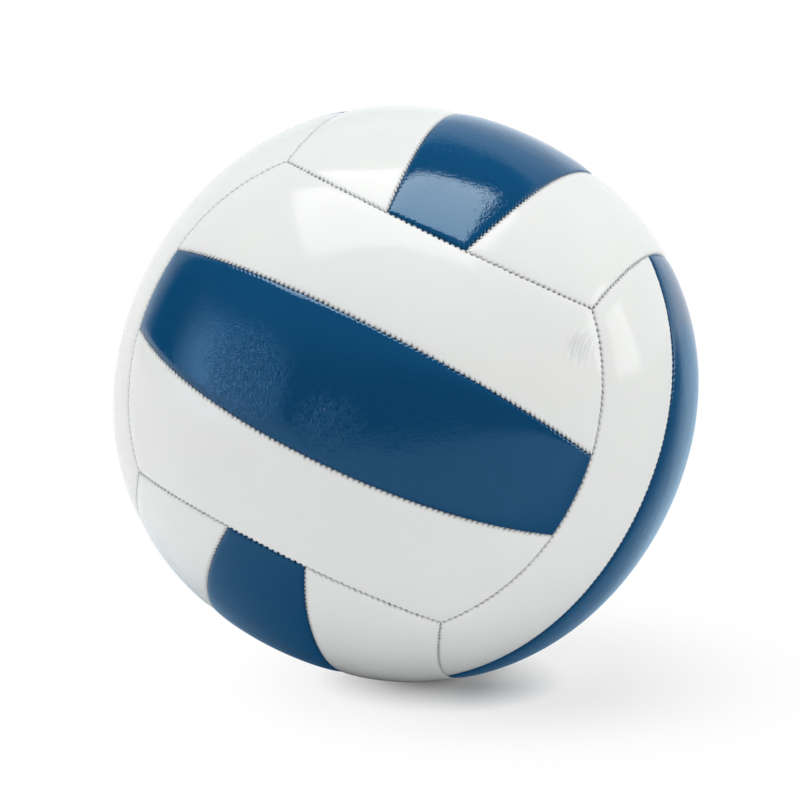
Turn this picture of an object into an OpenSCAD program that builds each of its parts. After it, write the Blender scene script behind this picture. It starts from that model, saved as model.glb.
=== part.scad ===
// Volleyball of eighteen sewn panels, in millimetres, +Z up, origin at the ball's centre.
// The cover has six faces of three parallel strips, and each face is turned a quarter
// turn against its neighbours. Every panel is a shallow tray: a skin whose edges roll
// down and turn in as hems, a foam pad bonded into it and a cloth lining inside the pad.

/* [Ball] */
// Diameter of the ball over its panels
ball_d = 210; // [180:1:230]

/* [Panel layout] */
// Angle from the middle of a face to each of its two strip seams, seen from the centre
strip_half_angle = 14.2; // [11:0.1:17]
// Tilt of the seam circle at each end of a face
end_tilt = 2.5; // [0:0.5:5]

/* [Cover] */
// Thickness of the skin
skin_t = 0.6; // [0.4:0.1:0.9]
// Thickness of the foam pad under the skin
foam_t = 1.6; // [1.2:0.1:3]
// Thickness of the cloth lining under the foam
lining_t = 0.4; // [0.2:0.1:0.8]

/* [Seams] */
// Width of the rolled edge beside a seam, on each side
lip_w = 2.2; // [1.8:0.1:3]
// Depth at which the two rolled edges of a seam meet
lip_d = 1.2; // [1:0.1:1.4]
// Gap left between the hems of two neighbouring panels
seam_gap = 0.1; // [0.06:0.02:0.2]
// Diameter of the sewing thread
thread_d = 0.7; // [0.4:0.1:0.9]
// Gap left under the thread where it lies in the groove
thread_seat = 0.03; // [0.01:0.01:0.1]
// Length of seam left free at each end of a thread
thread_end = 1.5; // [1:0.1:3]

/* [Bladder] */
// Wall of the air bladder
bladder_t = 0.5; // [0.4:0.1:1]

/* [Valve] */
// Diameter of the valve's head where it shows in its panel
valve_head_d = 8; // [6:0.5:10]
// Gap round the head in the panel's hole
valve_head_gap = 0.2; // [0.1:0.1:0.5]
// Depth of the head's face below the skin
valve_recess = 0.4; // [0.2:0.1:1]
// Diameter of the plug's stem inside the housing
valve_stem_d = 5; // [4:0.5:6]
// Length of the plug's stem below the head
valve_stem_l = 12; // [8:1:16]
// Rubber that closes behind the needle, at the foot of the stem
valve_seal_l = 3.7; // [2:0.1:5]
// Gap between the stem and the housing
valve_stem_gap = 0.05; // [0.02:0.01:0.1]
// Wall of the housing tube and of the collar round its mouth
valve_wall = 2; // [1.5:0.1:3]
// Length of the collar that joins the tube to the flange
valve_collar_l = 2; // [1.5:0.1:4]
// Floor of the housing tube
valve_floor = 1.5; // [1:0.1:3]
// Diameter of the housing's flange, bonded inside the bladder
valve_flange_d = 28; // [22:1:36]
// Thickness of the flange
valve_flange_t = 1; // [0.8:0.1:2]
// Diameter of the passage for an inflating needle
needle_d = 2; // [1.6:0.1:2.4]
// Width and depth of the funnel at the mouth of the needle passage
needle_funnel = 0.5; // [0.3:0.1:0.8]

/* [Pose] */
// Turn of the ball about X as it lies on the floor
turn_x = 74.5; // [-180:0.5:180]
// Turn of the ball about Y
turn_y = 21.5; // [-180:0.5:180]
// Turn of the ball about Z
turn_z = -20.5; // [-180:0.5:180]

/* [Hidden] */
$fn = 144;

white_skin = "whitesmoke";
blue_skin = [0.05, 0.25, 0.5];
foam_colour = "gainsboro";
lining_colour = "beige";
thread_colour = [0.85, 0.85, 0.85];
rubber_colour = [0.15, 0.15, 0.15];

// Overrun that lets a cut pass cleanly through a surface
over = 2 * lip_d;
ball_r = ball_d / 2;
cover_t = skin_t + foam_t + lining_t;
lining_r = ball_r - skin_t - foam_t;
bladder_r = ball_r - cover_t;
wall_inset = seam_gap / 2;

// Cone of the seam circle at the end of a face: it runs through the corners of a cube
end_angle = acos((cos(end_tilt) - sin(end_tilt)) / sqrt(3));
// Half the turn that an end seam covers between two cube corners
end_half_turn = asin(1 / sqrt(3) / sin(end_angle));
// Turn of a strip seam from the middle of the face to its end seam
strip_reach = sqrt(pow(cos(end_tilt) * cos(strip_half_angle), 2) + pow(sin(end_tilt), 2));
strip_half_turn = acos(cos(end_angle) / strip_reach)
    - atan2(sin(end_tilt), cos(end_tilt) * cos(strip_half_angle));

// Slope of the rolled edge, from the level skin down to where it meets its neighbour
lip_slope = atan(lip_d / lip_w);

// Reach of the cuts along the seams: their depth, how far they sweep to each side of
// a seam's middle, and the blocks that hold a face's strips, in its own Z and Y
cut_depth = cover_t + 4 * over;
face_floor = ball_r / sqrt(3) - cut_depth;
end_sweep = 62;
strip_sweep = 72;
side_reach = ball_r * cos(end_angle - end_tilt) + over;
side_start = ball_r * cos(strip_half_turn) * sin(strip_half_angle) - over;
middle_reach = ball_r * sin(strip_half_angle) + over;

// Place of a face: a third of a turn about the cube's diagonal for each pair of faces,
// and a half turn for the far face of a pair
cube_diagonal = [1, 1, 1];
third_turn = 120;
half_turn = 180;
quarter_turn = 90;

// Distance from the centre of the ball to a thread that rests on both rolled edges
thread_reach = ball_r - lip_d + thread_d / 2 / cos(lip_slope) + thread_seat;

// Valve: distances of its face and of the shoulder under its head from the centre of
// the ball, and the sizes that follow from them
valve_face_r = ball_r - valve_recess;
valve_shoulder_r = bladder_r - bladder_t - valve_flange_t;
valve_head_l = valve_face_r - valve_shoulder_r;
valve_hole_d = valve_head_d + 2 * valve_head_gap;
stem_bore_d = valve_stem_d + 2 * valve_stem_gap;
needle_l = valve_head_l + valve_stem_l - valve_seal_l;

// Width beside a seam at which a layer's rolled edge starts, and its depth at the seam
function lip_start(inset) = lip_w + inset * tan(lip_slope / 2);
function lip_foot(inset) = lip_d + inset / cos(lip_slope);

// Point in the turned outline of a seam wall, at a distance from the wall and a depth
function wall_point(cone, side, width, depth) = [
    (ball_r - depth) * sin(cone) + side * width * cos(cone),
    (ball_r - depth) * cos(cone) - side * width * sin(cone)
];

// Turned outline of what lies beyond a seam, with the rolled edge of one layer.
// side is -1 where the panel lies inside the seam's cone and 1 where it lies outside.
// The hem lies in the flat of the seam's circle, and the outline reaches up to far.
module beyond_seam(cone, side, inset, sweep, far) {
    hem = (ball_r - lip_d) * cos(cone) - side * (inset + wall_inset);
    low = wall_point(cone, side, 0, lip_foot(inset));
    // The slope runs on past the skin
    rim = wall_point(cone, side, lip_start(inset) + over, inset - over * tan(lip_slope));
    meet = low + (rim - low) * (hem - low[1]) / (rim[1] - low[1]);
    brim = max(rim[0], ball_r + over);
    outline = [
        [meet[0] - cut_depth, hem], meet, rim,
        [brim, rim[1]], [brim, far], [meet[0] - cut_depth, far]
    ];
    rotate([0, 0, -sweep])
        rotate_extrude(angle = 2 * sweep)
            polygon(outline);
}

// What lies past the end of a face, on the side of +X for way 1 and of -X for way -1
module past_end(way, inset) {
    rotate([0, 0, way < 0 ? half_turn : 0])
        rotate([0, -end_tilt, 0])
            beyond_seam(end_angle, -1, inset, end_sweep, -over);
}

// What lies past a long side of a face
module past_side(way, inset) {
    rotate([-way * (quarter_turn + end_tilt), 0, 0])
        rotate([0, 0, -way * quarter_turn])
            beyond_seam(end_angle, 1, inset, end_sweep, side_reach + 2 * over);
}

// What lies past a strip seam, seen from the middle strip or from the side strip
module past_strip(way, from_middle, inset) {
    tip = from_middle ? quarter_turn - strip_half_angle : -quarter_turn - strip_half_angle;
    rotate([way * tip, 0, 0])
        rotate([0, 0, from_middle ? way * quarter_turn : -way * quarter_turn])
            beyond_seam(quarter_turn, -1, inset, strip_sweep, -middle_reach - over);
}

// Ball with its poles on X, away from the face that is being cut
module round_ball(r) {
    rotate([0, quarter_turn, 0]) sphere(r);
}

// Block over a face, between two places across its strips
module face_block(low, high) {
    translate([-ball_r - over, low, face_floor])
        cube([ball_d + 2 * over, high - low, ball_r + over - face_floor]);
}

// Part of the cover over a face that lies between its two ends
module face_shell(inset, inner_r, low, high) {
    difference() {
        intersection() {
            round_ball(ball_r - inset);
            face_block(low, high);
        }
        round_ball(inner_r);
        past_end(1, inset);
        past_end(-1, inset);
    }
}

// Body of the middle strip, from the given depth down to an inner radius
module middle_body(inset, inner_r) {
    difference() {
        face_shell(inset, inner_r, -middle_reach, middle_reach);
        past_strip(1, true, inset);
        past_strip(-1, true, inset);
    }
}

// Body of a side strip, from the given depth down to an inner radius
module side_body(way, inset, inner_r) {
    difference() {
        face_shell(inset, inner_r, way > 0 ? side_start : -side_reach,
            way > 0 ? side_reach : -side_start);
        past_strip(way, false, inset);
        past_side(way, inset);
    }
}

// Body of any strip: 1 is the upper one, 0 the middle and -1 the lower
module strip_body(strip, inset, inner_r) {
    if (strip == 0) middle_body(inset, inner_r);
    else side_body(strip, inset, inner_r);
}

// Moves what is drawn on the +Z face to another face
module on_face(turn, flip) {
    rotate(a = third_turn * turn, v = cube_diagonal)
        rotate([half_turn * flip, 0, 0])
            children();
}

// Turns the whole ball as it lies on the floor
module at_rest() {
    rotate([turn_x, turn_y, turn_z]) children();
}

// Hole for the valve's head through a cover layer
module valve_hole() {
    cylinder(h = ball_r + over, d = valve_hole_d);
}

// Skin of a panel: a tray with rolled edges and hems as deep as the cover
module skin_shell(strip, valve) {
    difference() {
        strip_body(strip, 0, bladder_r);
        strip_body(strip, skin_t, bladder_r - over);
        if (valve) valve_hole();
    }
}

// Foam pad of a panel, which fills the tray down to the lining
module foam_pad(strip, valve) {
    difference() {
        strip_body(strip, skin_t, lining_r);
        if (valve) valve_hole();
    }
}

// Cloth lining of a panel, between the foam and the bladder
module lining_sheet(strip, valve) {
    difference() {
        intersection() {
            strip_body(strip, skin_t, bladder_r);
            round_ball(lining_r);
        }
        if (valve) valve_hole();
    }
}

// Places one layer of a panel; the valve sits in the middle strip of the back face
module skin(turn, flip, strip) {
    color(strip == 0 ? blue_skin : white_skin)
        at_rest() on_face(turn, flip)
            skin_shell(strip, turn == 0 && flip == 1 && strip == 0);
}

module foam(turn, flip, strip) {
    color(foam_colour)
        at_rest() on_face(turn, flip)
            foam_pad(strip, turn == 0 && flip == 1 && strip == 0);
}

module lining(turn, flip, strip) {
    color(lining_colour)
        at_rest() on_face(turn, flip)
            lining_sheet(strip, turn == 0 && flip == 1 && strip == 0);
}

// Arc of thread round a seam circle, centred on +X, in the groove of the seam
module thread_arc(cone, half_turn_angle) {
    free = thread_end / (thread_reach * sin(cone)) * half_turn / PI;
    span = half_turn_angle - free;
    rotate([0, 0, -span])
        rotate_extrude(angle = 2 * span)
            translate([thread_reach * sin(cone), thread_reach * cos(cone)])
                circle(d = thread_d, $fn = 24);
}

// Thread of the two strip seams of every face
module strip_seam_thread() {
    color(thread_colour)
        at_rest()
            for (turn = [0:2], flip = [0:1], way = [-1, 1])
                on_face(turn, flip)
                    rotate([way * (quarter_turn - strip_half_angle), 0, 0])
                        rotate([0, 0, way * quarter_turn])
                            thread_arc(quarter_turn, strip_half_turn);
}

// Thread of the two end seams of every face
module edge_seam_thread() {
    color(thread_colour)
        at_rest()
            for (turn = [0:2], flip = [0:1], way = [0, 1])
                on_face(turn, flip)
                    rotate([0, 0, way * half_turn])
                        rotate([0, -end_tilt, 0])
                            thread_arc(end_angle, end_half_turn);
}

// Places a valve piece, drawn along +Z, in the middle of the back face
module at_valve() {
    at_rest() on_face(0, 1) children();
}

// Air bladder with the opening for the valve housing
module bladder() {
    color(rubber_colour)
        at_valve()
            difference() {
                sphere(bladder_r);
                sphere(bladder_r - bladder_t);
                valve_hole();
            }
}

// Flange of the housing: a round patch of shell bonded to the inside of the bladder
module valve_flange() {
    intersection() {
        difference() {
            sphere(bladder_r - bladder_t);
            sphere(valve_shoulder_r);
        }
        cylinder(h = ball_r, d = valve_flange_d);
    }
}

// Valve housing: its flange, and a tube with a collar that points inward
module valve_housing() {
    color(rubber_colour)
        at_valve()
            difference() {
                union() {
                    valve_flange();
                    translate([0, 0, valve_shoulder_r - valve_collar_l])
                        cylinder(h = valve_collar_l, d = valve_hole_d + 2 * valve_wall);
                    translate([0, 0, valve_shoulder_r - valve_stem_l - valve_floor])
                        cylinder(h = valve_stem_l + valve_floor,
                            d = stem_bore_d + 2 * valve_wall);
                }
                translate([0, 0, valve_shoulder_r])
                    cylinder(h = ball_r, d = valve_hole_d);
                translate([0, 0, valve_shoulder_r - valve_stem_l])
                    cylinder(h = ball_r, d = stem_bore_d);
            }
}

// Valve plug: a head flush with the panel and a stem that seals round the needle
module valve_plug() {
    color(rubber_colour)
        at_valve()
            difference() {
                union() {
                    translate([0, 0, valve_shoulder_r])
                        cylinder(h = valve_head_l, d = valve_head_d);
                    translate([0, 0, valve_shoulder_r - valve_stem_l])
                        cylinder(h = valve_stem_l + over, d = valve_stem_d);
                }
                translate([0, 0, valve_face_r - needle_l])
                    cylinder(h = needle_l + over, d = needle_d);
                translate([0, 0, valve_face_r - needle_funnel])
                    cylinder(h = 2 * needle_funnel, d1 = needle_d,
                        d2 = needle_d + 4 * needle_funnel);
            }
}

skin(0, 0, 1);  // front_upper_skin
skin(0, 0, 0);  // front_middle_skin
skin(0, 0, -1);  // front_lower_skin
skin(0, 1, 1);  // back_upper_skin
skin(0, 1, 0);  // back_middle_skin
skin(0, 1, -1);  // back_lower_skin
skin(1, 0, 1);  // right_upper_skin
skin(1, 0, 0);  // right_middle_skin
skin(1, 0, -1);  // right_lower_skin
skin(1, 1, 1);  // left_upper_skin
skin(1, 1, 0);  // left_middle_skin
skin(1, 1, -1);  // left_lower_skin
skin(2, 0, 1);  // top_upper_skin
skin(2, 0, 0);  // top_middle_skin
skin(2, 0, -1);  // top_lower_skin
skin(2, 1, 1);  // bottom_upper_skin
skin(2, 1, 0);  // bottom_middle_skin
skin(2, 1, -1);  // bottom_lower_skin
foam(0, 0, 1);  // front_upper_foam
foam(0, 0, 0);  // front_middle_foam
foam(0, 0, -1);  // front_lower_foam
foam(0, 1, 1);  // back_upper_foam
foam(0, 1, 0);  // back_middle_foam
foam(0, 1, -1);  // back_lower_foam
foam(1, 0, 1);  // right_upper_foam
foam(1, 0, 0);  // right_middle_foam
foam(1, 0, -1);  // right_lower_foam
foam(1, 1, 1);  // left_upper_foam
foam(1, 1, 0);  // left_middle_foam
foam(1, 1, -1);  // left_lower_foam
foam(2, 0, 1);  // top_upper_foam
foam(2, 0, 0);  // top_middle_foam
foam(2, 0, -1);  // top_lower_foam
foam(2, 1, 1);  // bottom_upper_foam
foam(2, 1, 0);  // bottom_middle_foam
foam(2, 1, -1);  // bottom_lower_foam
lining(0, 0, 1);  // front_upper_lining
lining(0, 0, 0);  // front_middle_lining
lining(0, 0, -1);  // front_lower_lining
lining(0, 1, 1);  // back_upper_lining
lining(0, 1, 0);  // back_middle_lining
lining(0, 1, -1);  // back_lower_lining
lining(1, 0, 1);  // right_upper_lining
lining(1, 0, 0);  // right_middle_lining
lining(1, 0, -1);  // right_lower_lining
lining(1, 1, 1);  // left_upper_lining
lining(1, 1, 0);  // left_middle_lining
lining(1, 1, -1);  // left_lower_lining
lining(2, 0, 1);  // top_upper_lining
lining(2, 0, 0);  // top_middle_lining
lining(2, 0, -1);  // top_lower_lining
lining(2, 1, 1);  // bottom_upper_lining
lining(2, 1, 0);  // bottom_middle_lining
lining(2, 1, -1);  // bottom_lower_lining
strip_seam_thread();
edge_seam_thread();
bladder();
valve_housing();
valve_plug();
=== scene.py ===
import math

import bpy
import numpy as np
from mathutils import Matrix, Vector


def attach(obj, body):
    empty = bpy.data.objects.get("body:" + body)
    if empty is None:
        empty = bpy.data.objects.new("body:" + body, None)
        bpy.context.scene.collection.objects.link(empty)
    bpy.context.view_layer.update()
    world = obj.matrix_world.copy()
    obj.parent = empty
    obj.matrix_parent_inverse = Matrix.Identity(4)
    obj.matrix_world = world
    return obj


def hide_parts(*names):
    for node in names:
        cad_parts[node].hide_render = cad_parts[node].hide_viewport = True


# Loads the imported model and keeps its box

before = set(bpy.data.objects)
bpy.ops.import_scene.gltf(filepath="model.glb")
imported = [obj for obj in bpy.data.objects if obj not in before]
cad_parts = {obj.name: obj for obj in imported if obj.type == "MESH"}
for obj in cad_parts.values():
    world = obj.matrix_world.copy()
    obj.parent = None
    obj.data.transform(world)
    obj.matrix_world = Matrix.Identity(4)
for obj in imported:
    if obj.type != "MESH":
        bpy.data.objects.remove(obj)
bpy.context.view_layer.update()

# Layout of the ball, in its own frame: front +Z, right +X, top +Y
# Lengths are in millimetres until a mesh is made

BALL_R = 104.3          # mean radius over the panels
CAD_R = 105.0           # radius of the CAD ball, which stands on the floor
SAG = 0.042             # how far the faces lie inside a round ball, and the corners outside
SKEW = 0.016            # how far the ball leans out of round
FLOOR_REACH = 0.9927    # lowest point of the ball below its centre, in mean radii
SINK = FLOOR_REACH * BALL_R - CAD_R   # height of its centre, a little below the CAD ball's
TURNS = (74.5, 21.5, -20.5)   # degrees about X, Y and Z as the ball lies on the floor

TILT = math.radians(2.5)      # tilt of the seam circle at each end of a face
STRIP = math.radians(14.2)    # from the middle of a face to each strip seam
END = math.acos((math.cos(TILT) - math.sin(TILT)) / math.sqrt(3))
END_TURN = math.asin(1 / math.sqrt(3) / math.sin(END))
STRIP_TURN = math.acos(
    math.cos(END) / math.hypot(math.cos(TILT) * math.cos(STRIP), math.sin(TILT))
) - math.atan2(math.sin(TILT), math.cos(TILT) * math.cos(STRIP))
MIDDLE_TURN = math.asin(math.cos(STRIP_TURN) * math.sin(STRIP) / math.sin(END))

# Cover: depths below the panels' surface

SKIN = 0.6              # inner face of a skin
FOAM_FOOT = 2.2         # inner face of a foam pad
COVER = 2.6             # inner face of a lining
BLADDER_FOOT = 3.1      # inner face of the bladder
HEM_FOOT = 2.4          # lowest edge of a hem
PLAY = 0.02             # between layers that touch
GAP = 0.05              # from the middle of a seam to a panel's wall
HEM = 0.6               # width of a turned-in hem
LIP_D = 0.45            # how far the skin rolls down beside a seam
LIP_W = 0.34            # over about this width
DISH_D = 0.62           # how far the padding is drawn in along a seam
DISH_W = 3.0            # over about this width
PUCKER = 0.55           # depth of the dimple at a stitch hole
PUCKER_W = 0.75         # how far a dimple reaches from the seam
HOLE_SHADE_W = 0.54      # how far the painted shade of a stitch hole reaches

# Sewing: stitches along a strip seam, along an edge seam, and across the ends of strips

STRIP_STITCHES = 92
MIDDLE_STITCHES = 14
SIDE_STITCHES = 24
EDGE_STITCHES = MIDDLE_STITCHES + 2 * SIDE_STITCHES
PER_STITCH = 4          # points of the mesh for each stitch
STITCH_SIZE = (1.35, 0.46, 0.44)      # length, width and height
STITCH_DEPTH = 1.0      # middle of a stitch below the panels' surface
STITCH_LEAN = (6, 3)    # degrees off the seam's run, mean and spread
UNEVEN = 0.03           # spread of the stitches' depth and size
PULL = (0.25, 0.4, 1.5)       # spread, least and most of the pull at the holes, round 1

# Valve: radii, and lengths along its axis

HEAD_R = 4.0            # head of the plug
HOLE_R = 4.2            # hole for the head
HEAD_RECESS = 0.4       # head below the panel's surface
STEM_R = 2.5            # stem of the plug
BORE_R = 2.55           # bore of the housing
TUBE_R = 4.55           # outside of the housing's tube
COLLAR_R = 6.2          # collar under the flange
COLLAR_L = 2.0
STEM_L = 12.0
TUBE_FLOOR = 1.5        # closed end of the tube
FLANGE_R = 14.0         # flange bonded to the bladder
FLANGE_T = 1.0
NEEDLE_R = 1.0          # passage for the needle
NEEDLE_L = 12.0
FUNNEL = 0.5            # flare of its mouth

MM = 0.001
RNG = np.random.default_rng(18)


def turned(axis, degrees):
    """Matrix of a turn about an axis."""
    return np.array(Matrix.Rotation(math.radians(degrees), 3, Vector(axis)))


AT_REST = turned((0, 0, 1), TURNS[2]) @ turned((0, 1, 0), TURNS[1]) @ turned((1, 0, 0), TURNS[0])
FACES = {
    "front": (0, 0), "back": (0, 1),
    "right": (1, 0), "left": (1, 1),
    "top": (2, 0), "bottom": (2, 1),
}
STRIPS = {"upper": 1, "middle": 0, "lower": -1}


def face_turn(turn, flip):
    """Places what is drawn on the +Z face on another face."""
    return turned((1, 1, 1), 120 * turn) @ turned((1, 0, 0), 180 * flip)


# Seams, as unit vectors on the +Z face

def circle(axis, out, along, turn):
    """Points on a seam circle round an axis."""
    turn = np.asarray(turn, float)[..., None]
    ring = np.cos(turn) * np.array(out) + np.sin(turn) * np.array(along)
    return math.cos(END) * np.array(axis) + math.sin(END) * ring


def strip_seam(way, turn):
    """Seam between the middle strip and a side strip."""
    turn = np.asarray(turn, float)
    return np.stack([
        np.sin(turn),
        way * np.cos(turn) * math.sin(STRIP),
        np.cos(turn) * math.cos(STRIP),
    ], -1)


def end_seam(way, turn):
    """Seam across the ends of the three strips."""
    return circle(
        (-way * math.sin(TILT), 0, math.cos(TILT)),
        (way * math.cos(TILT), 0, math.sin(TILT)),
        (0, 1, 0), turn,
    )


def side_seam(way, turn):
    """Seam along the outer side of a side strip."""
    return circle(
        (0, way * math.cos(TILT), -math.sin(TILT)),
        (0, way * math.sin(TILT), math.cos(TILT)),
        (1, 0, 0), turn,
    )


def strip_point(kind, u, v):
    """Unit vectors on a middle strip or on an upper side strip; u runs along it, v across."""
    a, b = (u + 1) / 2, (v + 1) / 2

    def rim(u, v):
        if kind == "middle":
            low, high = strip_seam(-1, u * STRIP_TURN), strip_seam(1, u * STRIP_TURN)
            across = v * MIDDLE_TURN
        else:
            low, high = strip_seam(1, u * STRIP_TURN), side_seam(1, u * END_TURN)
            across = MIDDLE_TURN + (END_TURN - MIDDLE_TURN) * (v + 1) / 2
        return low, high, end_seam(-1, across), end_seam(1, across)

    low, high, left, right = rim(u, v)
    corners = rim(np.array([-1.0, 1.0]), np.array([-1.0, 1.0]))
    a, b = a[..., None], b[..., None]
    flat = (1 - b) * low + b * high + (1 - a) * left + a * right
    flat = flat - (1 - b) * ((1 - a) * corners[0][0] + a * corners[0][1])
    flat = flat - b * ((1 - a) * corners[1][0] + a * corners[1][1])
    return flat / np.linalg.norm(flat, axis=-1, keepdims=True)


STEPS = np.linspace(-1, 1, 41)


def run_lengths(kind):
    """Length of a strip at each v, and its width at each u."""
    grid = strip_point(kind, *np.meshgrid(STEPS, STEPS, indexing="ij"))
    along = BALL_R * np.linalg.norm(np.diff(grid, axis=0), axis=-1).sum(0)
    across = BALL_R * np.linalg.norm(np.diff(grid, axis=1), axis=-1).sum(1)
    return along, across


LENGTHS = {kind: run_lengths(kind) for kind in ("middle", "side")}


def length_at(kind, v):
    return np.interp(v, STEPS, LENGTHS[kind][0])


def width_at(kind, u):
    return np.interp(u, STEPS, LENGTHS[kind][1])


def roll(d):
    """Depth of the skin at a distance from the nearest seam."""
    return LIP_D * np.exp(-d / LIP_W) + DISH_D * np.exp(-d / DISH_W)


def seam_depth(kind, u, v):
    """Depth of the skin's surface, and the distance to the nearest seam."""
    d_end = (1 - np.abs(u)) / 2 * length_at(kind, v)
    d_side = (1 - np.abs(v)) / 2 * width_at(kind, u)
    power = 4
    depth = (roll(d_end) ** power + roll(d_side) ** power) ** (1 / power)
    return depth, np.minimum(d_end, d_side)


# Parts of a panel's mesh. A ring is a closed line round the panel, side by side

def ring(kind, inset, counts, corner):
    """(u, v, place along the stitches) of a ring at a distance inside the seams."""
    sides = (
        length_at(kind, -1), width_at(kind, 1), length_at(kind, 1), width_at(kind, -1),
    )
    rows = []
    for side, (length, count) in enumerate(zip(sides, counts)):
        t = np.arange(count) / count
        free = length - 2 * inset
        a = t * free
        from_end = np.minimum(a, free - a)
        bend = np.radians(45) * np.clip(1 - from_end / corner, 0, 1)
        near = np.where(from_end < corner, corner * (1 - np.sin(bend)), from_end)
        lift = np.where(from_end < corner, corner * (1 - np.cos(bend)), 0)
        a = np.where(a < free / 2, near, free - near)
        along = -1 + 2 * (inset + a) / length
        deep = inset + lift
        if side in (0, 2):
            u = along if side == 0 else -along
            v = -1 + 2 * deep / width_at(kind, u)
            v = v if side == 0 else -v
        else:
            v = along if side == 1 else -along
            u = 1 - 2 * deep / length_at(kind, v)
            u = u if side == 1 else -u
        fade = np.clip(from_end / (1.5 * corner), 0, 1)
        rows.append(np.stack([u, v, t, fade], -1))
    return np.concatenate(rows)


def inner_grid(kind, inset, nu, nv):
    """(u, v) of a grid over the middle of a panel, as an array nu + 1 by nv + 1."""
    xi, eta = np.meshgrid(np.linspace(-1, 1, nu + 1), np.linspace(-1, 1, nv + 1), indexing="ij")
    u = xi * (1 - 2 * inset / length_at(kind, eta))
    v = eta * (1 - 2 * inset / width_at(kind, u))
    return np.stack([u, v], -1)


def grid_numbers(first, nu, nv):
    """Numbers of a grid's points."""
    return first + np.arange((nu + 1) * (nv + 1)).reshape(nu + 1, nv + 1)


def grid_sides(first, nu, nv):
    """Numbers of a grid's rim points, as four lists in the order of a ring's sides."""
    number = grid_numbers(first, nu, nv)
    return [number[:, 0], number[-1, :], number[::-1, -1], number[0, ::-1]]


def ring_sides(first, counts):
    """Numbers of a ring's points, as four lists that share their corners."""
    total = sum(counts)
    starts = np.cumsum([0] + list(counts))
    return [
        first + (np.arange(starts[i], starts[i + 1] + 1) % total) for i in range(4)
    ]


def zip_lines(outer, inner, a, b):
    """Triangles between two lines of points, matched by their rising marks a and b."""
    faces = []
    i = j = 0
    while i < len(outer) - 1 or j < len(inner) - 1:
        if j == len(inner) - 1 or (i < len(outer) - 1 and a[i + 1] <= b[j + 1]):
            faces.append((outer[i], outer[i + 1], inner[j]))
            i += 1
        else:
            faces.append((outer[i], inner[j + 1], inner[j]))
            j += 1
    return faces


def zip_sides(outer, inner):
    """Triangles between two rings, or between a ring and the rim of a grid."""
    faces = []
    for a, b in zip(outer, inner):
        marks = [(np.arange(len(line)) / (len(line) - 1)).tolist() for line in (a, b)]
        faces += zip_lines(a, b, *marks)
    return faces


def grid_faces(first, nu, nv, cut=None):
    """Triangles of a grid, but for the cells cut out each way from its middle."""
    number = grid_numbers(first, nu, nv)
    a, b = number[:-1, :-1], number[1:, :-1]
    c, d = number[1:, 1:], number[:-1, 1:]
    kept = np.ones((nu, nv), bool)
    if cut:
        kept[nu // 2 - cut[0]:nu // 2 + cut[0], nv // 2 - cut[1]:nv // 2 + cut[1]] = False
    quads = np.stack([a[kept], b[kept], c[kept], d[kept]], -1)
    return np.concatenate([quads[:, [0, 1, 2]], quads[:, [0, 2, 3]]])


class Shell:
    """Points of a panel's mesh: unit vector, depth, distance to the seam, and painted shade of a
    stitch hole for each.
    """

    def __init__(self, kind):
        self.kind = kind
        self.directions, self.depths, self.edges, self.faces = [], [], [], []
        self.hole_shades = []
        self.count = 0

    def add(self, uv, depth=None, extra=0.0, hole=None):
        """Adds points at a depth below the ball's surface, or on the rolled skin."""
        flat = uv.reshape(-1, uv.shape[-1])
        u, v = flat[:, 0], flat[:, 1]
        surface, edge = seam_depth(self.kind, u, v)
        depth = surface + extra if depth is None else np.full(len(u), float(depth))
        return self.add_points(strip_point(self.kind, u, v), depth, edge, hole)

    def add_points(self, directions, depth, edge, hole=None):
        self.hole_shades.append(np.zeros(len(depth)) if hole is None else hole)
        self.directions.append(directions)
        self.depths.append(depth)
        self.edges.append(edge)
        first = self.count
        self.count += len(depth)
        return first

    def join(self, faces, turned_over=False):
        faces = np.asarray(faces, int)
        self.faces.append(faces[:, ::-1] if turned_over else faces)

    def done(self):
        return (
            np.concatenate(self.directions), np.concatenate(self.depths),
            {"seam_distance": np.concatenate(self.edges), "hole": np.concatenate(self.hole_shades)},
            np.concatenate(self.faces),
        )


KINDS = {
    "middle": {
        "stitches": (STRIP_STITCHES, MIDDLE_STITCHES, STRIP_STITCHES, MIDDLE_STITCHES),
        "grid": (92, 22),
    },
    "side": {
        "stitches": (STRIP_STITCHES, SIDE_STITCHES, EDGE_STITCHES, SIDE_STITCHES),
        "grid": (84, 18),
    },
}
FINE_INSETS = (0.0, 0.17, 0.4, 0.7, 1.1, 1.65, 2.45)   # rings of a skin's face, from its wall
GRID_INSET = 3.6                # rim of the grid in a skin's face
UNDER_INSET = GRID_INSET + 2    # rim of the grids below it
CORNER = 0.5                    # radius of a panel's corners
FACE_CUT = (4, 3)               # cells cut out round the valve in the face's grid
UNDER_CUT = (3, 3)              # and in the grids below it
HOLE_POINTS = 64                # points round the valve's hole
MID_PANEL = 20.0                # distance to a seam that is noted for them


def under_grid(kind):
    """Points to each side of a ring below a skin's face, and cells each way of the grid."""
    nu, nv = KINDS[kind]["grid"]
    coarse = tuple(max(4, n // 2) for n in KINDS[kind]["stitches"])
    return coarse, nu // 2, nv // 2 + nv // 2 % 2


def hole_loop(first, nu, nv, cut):
    """Numbers of the points round the cells that were cut out, anticlockwise."""
    number = grid_numbers(first, nu, nv)
    i0, i1 = nu // 2 - cut[0], nu // 2 + cut[0]
    j0, j1 = nv // 2 - cut[1], nv // 2 + cut[1]
    return np.concatenate([
        number[i0:i1, j0], number[i1, j0:j1], number[i1:i0:-1, j1], number[i0, j1:j0:-1],
    ])


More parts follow.
